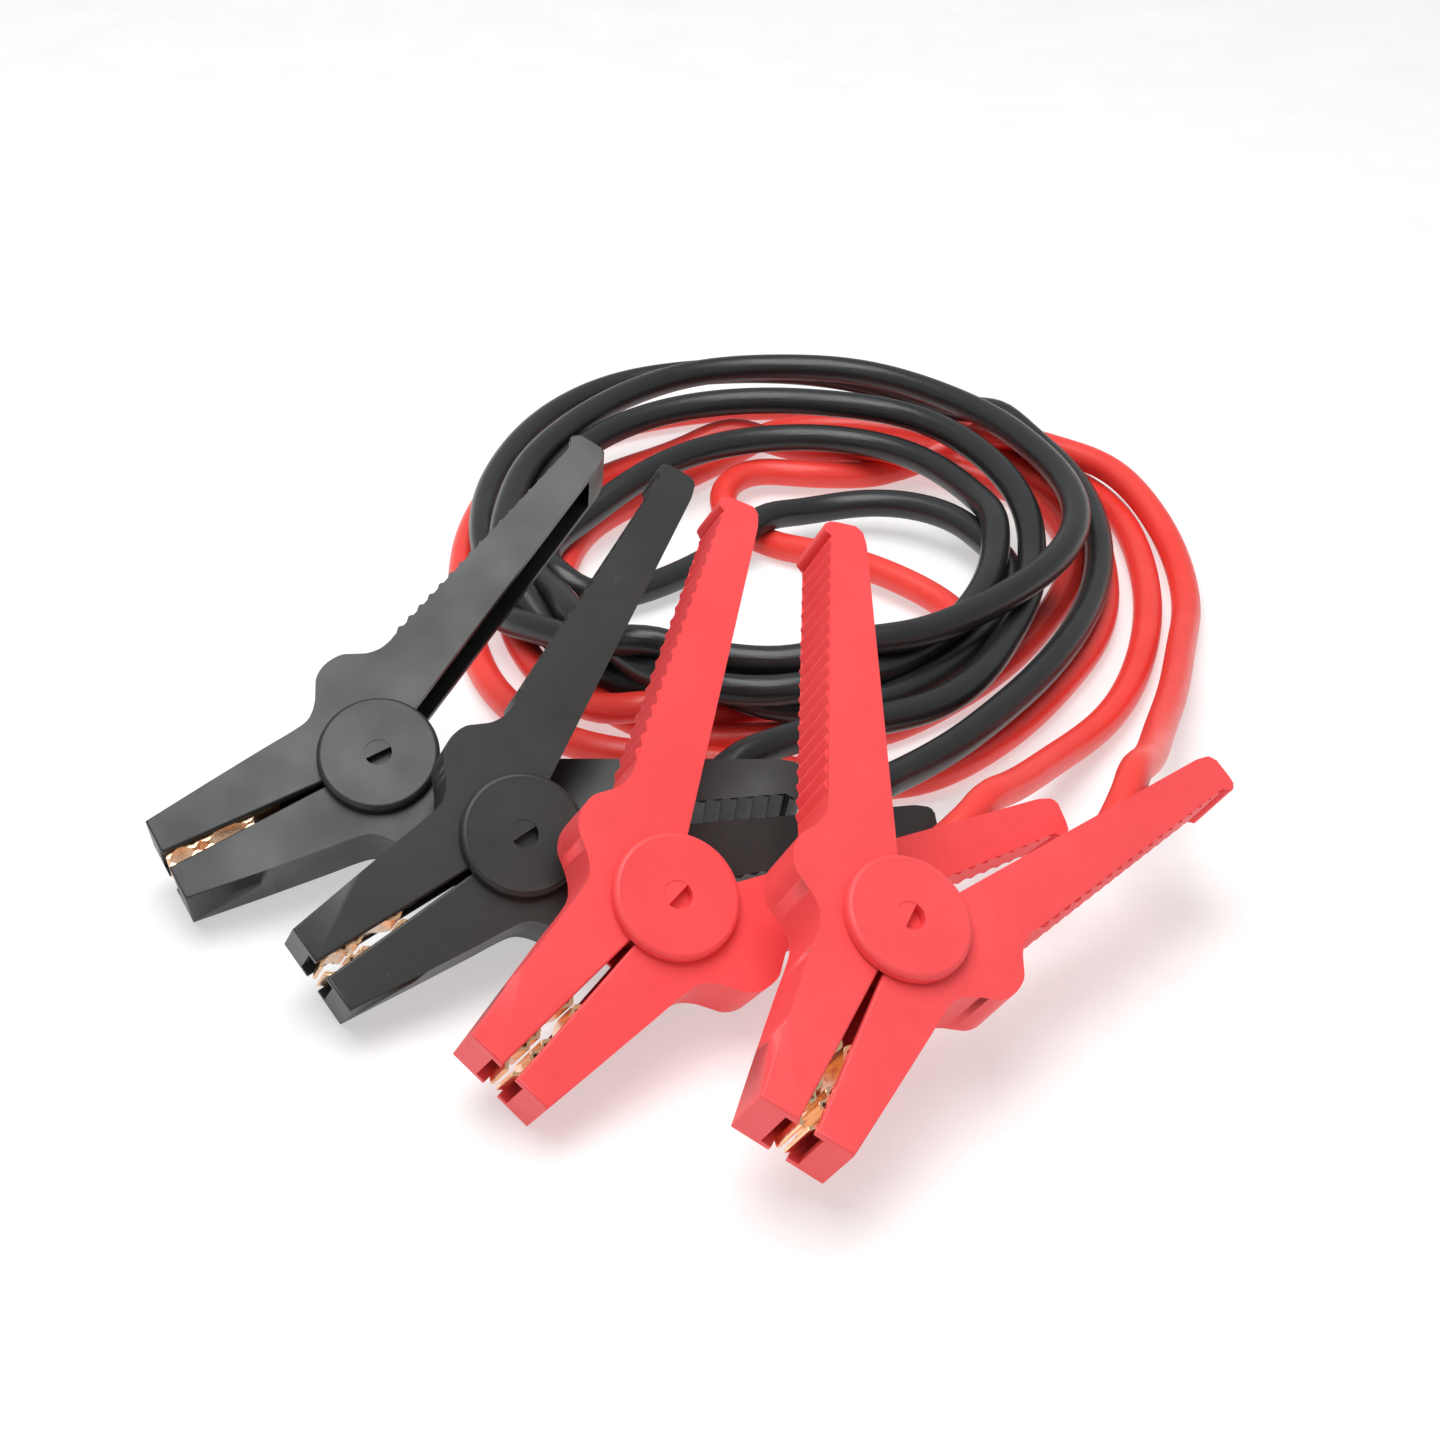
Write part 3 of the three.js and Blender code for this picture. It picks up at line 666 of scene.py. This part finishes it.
def lathe(profile, sides):
    """A closed profile of (radius, w) turned about the pin's axis."""
    bm = bmesh.new()
    rings = []
    for r, w in profile:
        if r < 1e-6:
            rings.append([bm.verts.new((0, 0, w))] * sides)
        else:
            turn = np.linspace(0, 2 * math.pi, sides, endpoint=False)
            rings.append([bm.verts.new((r * math.cos(a), r * math.sin(a), w)) for a in turn])
    for one, two in zip(rings, rings[1:] + rings[:1]):
        for k in range(sides):
            n = (k + 1) % sides
            corners = list(dict.fromkeys((one[k], one[n], two[n], two[k])))
            if len(corners) > 2:
                bm.faces.new(corners)
    bmesh.ops.recalc_face_normals(bm, faces=bm.faces)
    return bm


def mesh_of(bm, name):
    """The finished mesh of an edit mesh."""
    mesh = bpy.data.meshes.new(name)
    bm.to_mesh(mesh)
    bm.free()
    return mesh


def combine(mesh, tools):
    """Cut from or join to a mesh, one tool after another."""
    body = bpy.data.objects.new("body", mesh)
    bpy.context.scene.collection.objects.link(body)
    for operation, bm in tools:
        tool = bpy.data.objects.new("tool", mesh_of(bm, "tool"))
        bpy.context.scene.collection.objects.link(tool)
        modifier = body.modifiers.new("combine", "BOOLEAN")
        modifier.operation = operation
        modifier.solver = "EXACT"
        modifier.object = tool
        graph = bpy.context.evaluated_depsgraph_get()
        result = bpy.data.meshes.new_from_object(body.evaluated_get(graph))
        body.modifiers.clear()
        body.data = result
        bpy.data.objects.remove(tool)
    result = body.data
    bpy.data.objects.remove(body)
    return result


def mirrored(points, side):
    """The points, or for side -1 their mirror image in the centre line."""
    return points if side > 0 else [Vector((p.x, -p.y)) for p in points][::-1]


def half_mesh(side):
    """Side +1 holds the cable, side -1 moves. Their ears lie beside each other on the pin."""
    outer = mesh_of(prism(mirrored(half_outline(), side), -THICK, 0, 0.7), "half")
    top = GAP_NOSE + NOSE_NOTCH
    notch = [Vector(p) for p in ((NOSE - END_WALL - 1, 0), (NOSE + 1, 0), (NOSE + 1, top), (NOSE - END_WALL - 1, top))]
    tools = [
        ("DIFFERENCE", prism(mirrored(HOLLOW, side), -THICK + WALL, -WALL)),
        ("DIFFERENCE", prism(mirrored(notch, side), -THICK + WALL, -WALL)),
    ]
    near, far = ((-EAR_T * 2 - RUN, -EAR_T - RUN) if side > 0 else (-EAR_T, 0))
    arm = [
        Vector(p)
        for p in ((EAR_R * 0.7, 3), (EAR_R * 0.7, EAR_R + 3.6), (4, GUARD - 6), (-9, GUARD - 3.4), (-EAR_R * 0.8, 7))
    ]
    turn = np.linspace(0, 2 * math.pi, 48, endpoint=False)
    ear = [Vector((EAR_R * math.cos(a), EAR_R * math.sin(a))) for a in turn]
    inset = 0.4 if side < 0 else 0.0  # the outer ears end just below the shell's faces
    for low, high in ((near, far - inset), (-THICK - far + inset, -THICK - near)):
        tools.append(("UNION", prism(ear, low, high)))
        tools.append(("UNION", prism(mirrored(arm, side), low, high)))
    bore = [Vector((math.cos(a), math.sin(a))) * (PIN_R + RUN) for a in turn]
    tools.append(("DIFFERENCE", prism(bore, -THICK - 1, 1)))
    return combine(outer, tools)


halves = {side: half_mesh(side) for side in (1, -1)}
print("faces of a half:", len(halves[1].polygons))

# %% [markdown]
# ## Grip ribs
#
# The outer face of each handle carries a row of small ridges across its whole width, so that an oily hand
# doesn't slip. They are all alike and follow one straight line, which is what Geometry Nodes do best: one ridge
# is instanced along a line, and the count, the start and the step are inputs of the tree.

# %% Geometry Nodes: one ridge along a line
def rib_tree():
    """The tree: one ridge, repeated along a straight line."""
    tree = bpy.data.node_groups.new("grip ribs", "GeometryNodeTree")
    face = tree.interface
    face.new_socket("Ridge", in_out="INPUT", socket_type="NodeSocketGeometry")
    face.new_socket("Count", in_out="INPUT", socket_type="NodeSocketInt")
    face.new_socket("Start", in_out="INPUT", socket_type="NodeSocketVector")
    face.new_socket("Step", in_out="INPUT", socket_type="NodeSocketVector")
    face.new_socket("Finish", in_out="INPUT", socket_type="NodeSocketMaterial")
    face.new_socket("Ribs", in_out="OUTPUT", socket_type="NodeSocketGeometry")
    start, end = tree.nodes.new("NodeGroupInput"), tree.nodes.new("NodeGroupOutput")
    line = tree.nodes.new("GeometryNodeMeshLine")
    spots = tree.nodes.new("GeometryNodeInstanceOnPoints")
    real = tree.nodes.new("GeometryNodeRealizeInstances")
    paint = tree.nodes.new("GeometryNodeSetMaterial")
    wire(
        tree,
        (start.outputs["Count"], line.inputs["Count"]),
        (start.outputs["Start"], line.inputs["Start Location"]),
        (start.outputs["Step"], line.inputs["Offset"]),
        (line.outputs["Mesh"], spots.inputs["Points"]),
        (start.outputs["Ridge"], spots.inputs["Instance"]),
        (spots.outputs["Instances"], real.inputs["Geometry"]),
        (real.outputs["Geometry"], paint.inputs["Geometry"]),
        (start.outputs["Finish"], paint.inputs["Material"]),
        (paint.outputs["Geometry"], end.inputs["Ribs"]),
    )
    return tree


def apply_nodes(mesh, tree, values):
    """Run a tree on a mesh with its inputs set by identifier, and return the plain mesh."""
    carrier = bpy.data.objects.new("carrier", mesh)
    bpy.context.scene.collection.objects.link(carrier)
    modifier = carrier.modifiers.new("nodes", "NODES")
    modifier.node_group = tree
    ids = {s.name: s.identifier for s in tree.interface.items_tree if s.in_out == "INPUT"}
    for label, value in values.items():
        modifier[ids[label]] = value
    graph = bpy.context.evaluated_depsgraph_get()
    result = bpy.data.meshes.new_from_object(carrier.evaluated_get(graph))
    carrier.modifiers.clear()
    bpy.data.objects.remove(carrier)
    return result


RIB_TREE = rib_tree()


def ribs_mesh(side, finish):
    """The row of ridges on one handle."""
    shape = [(0.05, -0.4), (0.08, 0.0), (0.5, 0.86), (0.6, 1.0), (0.7, 0.86), (0.96, 0.0), (0.98, -0.4)]
    section = [ALONG * RIB_PITCH * a + OUTWARD * (RIB_HIGH * h if h > 0 else h) for a, h in shape]
    ridge = mesh_of(prism(mirrored(section, side), -THICK + 0.5, -0.5, 0.12, 1), "ridge")
    flip = Vector((1, side))
    first, step = RIB_FROM * flip, ALONG * RIB_PITCH * flip
    return apply_nodes(
        ridge,
        RIB_TREE,
        {"Count": RIBS, "Start": (first.x, first.y, 0), "Step": (step.x, step.y, 0), "Finish": finish},
    )


# %% [markdown]
# ## Contact plates, cover discs and spring
#
# The contact plates are bent sheet: one eye at the nose, two small teeth, and a longer eye behind them. Modelled
# as a folded sheet, every bend would need its own loop of edges. Here a plate is its bent line, which is given a
# thickness and a width.

# %% The wavy contact plate
PLATE_T, TOOTH_GAP = 1.0, 0.25


def plate_mesh(side):
    """The bent line, half a thickness up and half down, as wide as the hollow."""
    top = TOOTH_GAP + PLATE_T / 2
    line = [
        (37, GAP_NOSE + 3.6), (31, GAP_NOSE + 3.2), (28.6, GAP_NOSE + 0.6), (26.6, top), (24.6, top + 0.5),
        (21.6, top + 1.9), (18, top + 2.3), (15, top + 1.5), (13.2, top + 0.1), (12, top + 1.1),
        (10.4, top + 1.3), (9, top), (7.6, top + 1.3), (5.4, top + 2.2), (3, top + 1.8), (1.4, top + 0.6), (0.8, top),
    ]
    middle = smooth([Vector((NOSE - u, v)) for u, v in line], 5)
    above, below = [], []
    for i, p in enumerate(middle):
        d = (middle[min(i + 1, len(middle) - 1)] - middle[max(i - 1, 0)]).normalized() * PLATE_T / 2
        above.append(p + Vector((-d.y, d.x)))
        below.append(p - Vector((-d.y, d.x)))
    return mesh_of(prism(mirrored(below + above[::-1], side), -THICK + WALL + RUN, -WALL - RUN, 0.25, 2), "plate")


# %% [markdown]
# The cover discs are turned parts, so a profile spun about the pin makes each of them with its rounded rim. The
# front one is one piece with the pin. A shallow ring and a deep half-moon are cut into it.

# %% The cover discs and the pin
def pivot_mesh():
    """The pin and the front disc, with its two recesses."""
    top = RUN + DISC_HIGH
    bend = np.linspace(math.pi / 2, 0, 8)
    rim = [(DISC_R - RIM_R + RIM_R * math.sin(a), top - RIM_R + RIM_R * math.cos(a)) for a in bend]
    profile = [(0, -THICK), (PIN_R - 0.3, -THICK), (PIN_R, -THICK + 0.3), (PIN_R, RUN), (DISC_R - 0.3, RUN)]
    profile += [(DISC_R, RUN + 0.3), *rim, (DISC_R - 2.4, top - 0.12), (0, top - 0.12)]
    half_moon = [Vector((math.cos(a), math.sin(a))) * RECESS_R for a in np.linspace(0, math.pi, 25)]
    turn = np.linspace(0, 2 * math.pi, 48, endpoint=False)
    ring = [Vector((math.cos(a), math.sin(a))) * RECESS_R for a in turn]
    return combine(
        mesh_of(lathe(profile, 72), "pivot"),
        [
            ("DIFFERENCE", prism(ring, top - RING_DEEP, top + 1)),
            ("DIFFERENCE", prism(half_moon, top - RECESS_DEEP, top + 1)),
        ],
    )


def back_mesh():
    """The plain disc on the back."""
    low = -THICK - RUN - BACK_HIGH
    bend = np.linspace(0, math.pi / 2, 8)
    rim = [(DISC_R - RIM_R + RIM_R * math.sin(a), low + RIM_R - RIM_R * math.cos(a)) for a in bend]
    return mesh_of(lathe([(0, low), *rim, (DISC_R, -THICK - RUN), (0, -THICK - RUN)], 72), "back")


# %% [markdown]
# The spring is wire wound around the pin, between the halves. A curve with a bevel would do, but in Geometry Nodes
# the turns, the radius and the height stay inputs: a circle is swept along a spiral. The spring's two legs press
# the handles apart inside the mouldings. They can't be seen there and are left out.

# %% Geometry Nodes: the spring's coil
def spring_tree():
    """The tree: a circle swept along a spiral."""
    tree = bpy.data.node_groups.new("spring coil", "GeometryNodeTree")
    face = tree.interface
    face.new_socket("Carrier", in_out="INPUT", socket_type="NodeSocketGeometry")
    for label in ("Turns", "Radius", "Height", "Wire radius"):
        face.new_socket(label, in_out="INPUT", socket_type="NodeSocketFloat")
    face.new_socket("Start", in_out="INPUT", socket_type="NodeSocketVector")
    face.new_socket("Finish", in_out="INPUT", socket_type="NodeSocketMaterial")
    face.new_socket("Coil", in_out="OUTPUT", socket_type="NodeSocketGeometry")
    start, end = tree.nodes.new("NodeGroupInput"), tree.nodes.new("NodeGroupOutput")
    spiral = tree.nodes.new("GeometryNodeCurveSpiral")
    spiral.inputs["Resolution"].default_value = 32
    wire_end = tree.nodes.new("GeometryNodeCurvePrimitiveCircle")
    wire_end.inputs["Resolution"].default_value = 12
    tube = tree.nodes.new("GeometryNodeCurveToMesh")
    tube.inputs["Fill Caps"].default_value = True
    shift = tree.nodes.new("GeometryNodeTransform")
    real = tree.nodes.new("GeometryNodeRealizeInstances")
    paint = tree.nodes.new("GeometryNodeSetMaterial")
    wire(
        tree,
        (start.outputs["Turns"], spiral.inputs["Rotations"]),
        (start.outputs["Radius"], spiral.inputs["Start Radius"]),
        (start.outputs["Radius"], spiral.inputs["End Radius"]),
        (start.outputs["Height"], spiral.inputs["Height"]),
        (start.outputs["Wire radius"], wire_end.inputs["Radius"]),
        (spiral.outputs["Curve"], tube.inputs["Curve"]),
        (wire_end.outputs["Curve"], tube.inputs["Profile Curve"]),
        (tube.outputs["Mesh"], shift.inputs["Geometry"]),
        (start.outputs["Start"], shift.inputs["Translation"]),
        (shift.outputs["Geometry"], real.inputs["Geometry"]),
        (real.outputs["Geometry"], paint.inputs["Geometry"]),
        (start.outputs["Finish"], paint.inputs["Material"]),
        (paint.outputs["Geometry"], end.inputs["Coil"]),
    )
    return tree


def spring_mesh():
    """The coil around the pin, without its legs."""
    values = {"Turns": 2.5, "Radius": 5.0, "Height": 4.8, "Wire radius": 0.95, "Start": (0, 0, -THICK / 2 - 2.4)}
    carrier = bpy.data.meshes.new("carrier")
    coil = apply_nodes(carrier, spring_tree(), {**values, "Finish": FINISH["steel"]})
    bm = bmesh.new()
    bm.from_mesh(coil)
    bmesh.ops.remove_doubles(bm, verts=bm.verts, dist=0.001)
    bmesh.ops.recalc_face_normals(bm, faces=bm.faces)
    return mesh_of(bm, "spring")


# %% [markdown]
# ## Assembly
#
# The four clamps are alike, so each mesh is made once and copied to four places. Every copy is attached to the
# body it moves with and gets its finish, and the CAD node that it stands for is hidden. Wide faces stay flat and
# narrow ones are smoothed, so that only the rounded rims catch the light.

# %% Assemble the four clamps
FLAT_FROM = 30  # faces of this area and more are flat, square millimetres


def finish_mesh(mesh, matrix, material, angle):
    """Place a mesh in the row frame, shade it smoothly up to its real edges, and give it its finish."""
    mesh = mesh.copy()
    smooth_faces = [face.area < FLAT_FROM for face in mesh.polygons]
    mesh.transform(matrix)
    mesh.materials.clear()
    mesh.materials.append(material)
    mesh.polygons.foreach_set("material_index", [0] * len(mesh.polygons))
    mesh.polygons.foreach_set("use_smooth", smooth_faces)
    mesh.set_sharp_from_angle(angle=math.radians(angle))
    carrier = bpy.data.objects.new("carrier", mesh)
    bpy.context.scene.collection.objects.link(carrier)
    weighted = carrier.modifiers.new("weighted", "WEIGHTED_NORMAL")
    weighted.keep_sharp = True
    graph = bpy.context.evaluated_depsgraph_get()
    result = bpy.data.meshes.new_from_object(carrier.evaluated_get(graph))
    carrier.modifiers.clear()
    bpy.data.objects.remove(carrier)
    return result


def join(meshes, name):
    """Several meshes as one."""
    bm = bmesh.new()
    for mesh in meshes:
        bm.from_mesh(mesh)
    return mesh_of(bm, name)


plates = {side: plate_mesh(side) for side in (1, -1)}
pivot, back, spring = pivot_mesh(), back_mesh(), spring_mesh()
dressed = []
for n, colour, at, turn in CLAMPS:
    matrix = pose(at, turn)
    skin = colour + "_plastic"
    rows = []
    for side, word, rides in ((1, "cable", "root"), (-1, "free", f"clamp_{n}_free")):
        whole = join([halves[side], ribs_mesh(side, FINISH[skin])], "half")
        rows.append((f"clamp_{n}_{word}_shell", whole, f"clamp_{n}_{word}_half", rides, skin, 42))
        rows.append((f"clamp_{n}_{word}_contact", plates[side], f"clamp_{n}_{word}_plate", rides, "copper", 60))
    rows.append((f"clamp_{n}_front_cover", pivot, f"clamp_{n}_pivot", "root", skin, 40))
    rows.append((f"clamp_{n}_back_cover", back, f"clamp_{n}_back_disc", "root", skin, 40))
    rows.append((f"clamp_{n}_spring_coil", spring, f"clamp_{n}_spring", "root", "steel", 40))
    for name, mesh, node, body, slot, sharp in rows:
        piece = place(name, finish_mesh(mesh, matrix, FINISH[slot], sharp))
        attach(piece, body)
        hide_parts(node)
        dressed.append(piece)
print("dressed pieces:", len(dressed))

# %% [markdown]
# ## Floor and light
#
# The floor is a plain pale slab. It also glows a little by itself, which keeps the shadows under the cables as
# soft and grey as in the picture.

# %% Floor
floor_mesh = mesh_of(prism([Vector(p) for p in ((-4, -3), (4, -3), (4, 6), (-4, 6))], -0.01, 0.0), "floor")
floor = place("floor", floor_mesh)
paper, paper_tree, paper_shader = new_material("paper", (0.95, 0.95, 0.95, 1))
paper_tone = use_group(paper_tree, TONE, Main=(0.5, 0.5, 0.5, 1), Light=(0.53, 0.53, 0.53, 1), Scuffs=0.0)
wire(
    paper_tree,
    (paper_tone.outputs["Color"], paper_shader.inputs["Base Color"]),
    (paper_tone.outputs["Color"], paper_shader.inputs["Emission Color"]),
)
paper_shader.inputs["Emission Strength"].default_value = 0.95
paper_shader.inputs["Roughness"].default_value = 0.9
paper_shader.inputs["Specular IOR Level"].default_value = 0.1
floor.data.materials.append(paper)


# %% [markdown]
# One broad soft light hangs overhead and a weak one stands in front. The clamp on the far left mirrors the
# overhead light, which lies on its face like a veil. The other faces mirror the pale room around them, and that
# turns the red to coral and the black to slate.

# %% Light
def soft_box(name, at, towards, size, power):
    """A rectangular light at one place, aimed at another, in metres and watts."""
    data = bpy.data.lights.new(name, "AREA")
    data.shape = "RECTANGLE"
    data.size, data.size_y = size
    data.energy = power
    lamp = bpy.data.objects.new(name, data)
    lamp.location = at
    lamp.rotation_euler = (Vector(towards) - Vector(at)).to_track_quat("-Z", "Y").to_euler()
    bpy.context.scene.collection.objects.link(lamp)


soft_box("overhead", (-0.15, 0.0, 1.3), (-0.15, 0.0, 0), (0.9, 1.2), 16.5)
soft_box("front_fill", (-0.9, -1.2, 0.7), (0, 0.05, 0), (0.8, 0.8), 0.5)
world = bpy.data.worlds.new("studio")
world.use_nodes = True
world.node_tree.nodes["Background"].inputs["Color"].default_value = (1.0, 1.0, 1.0, 1)
world.node_tree.nodes["Background"].inputs["Strength"].default_value = 0.46
bpy.context.scene.world = world
bpy.context.scene.view_settings.view_transform = "Standard"
bpy.context.scene.view_settings.look = "None"
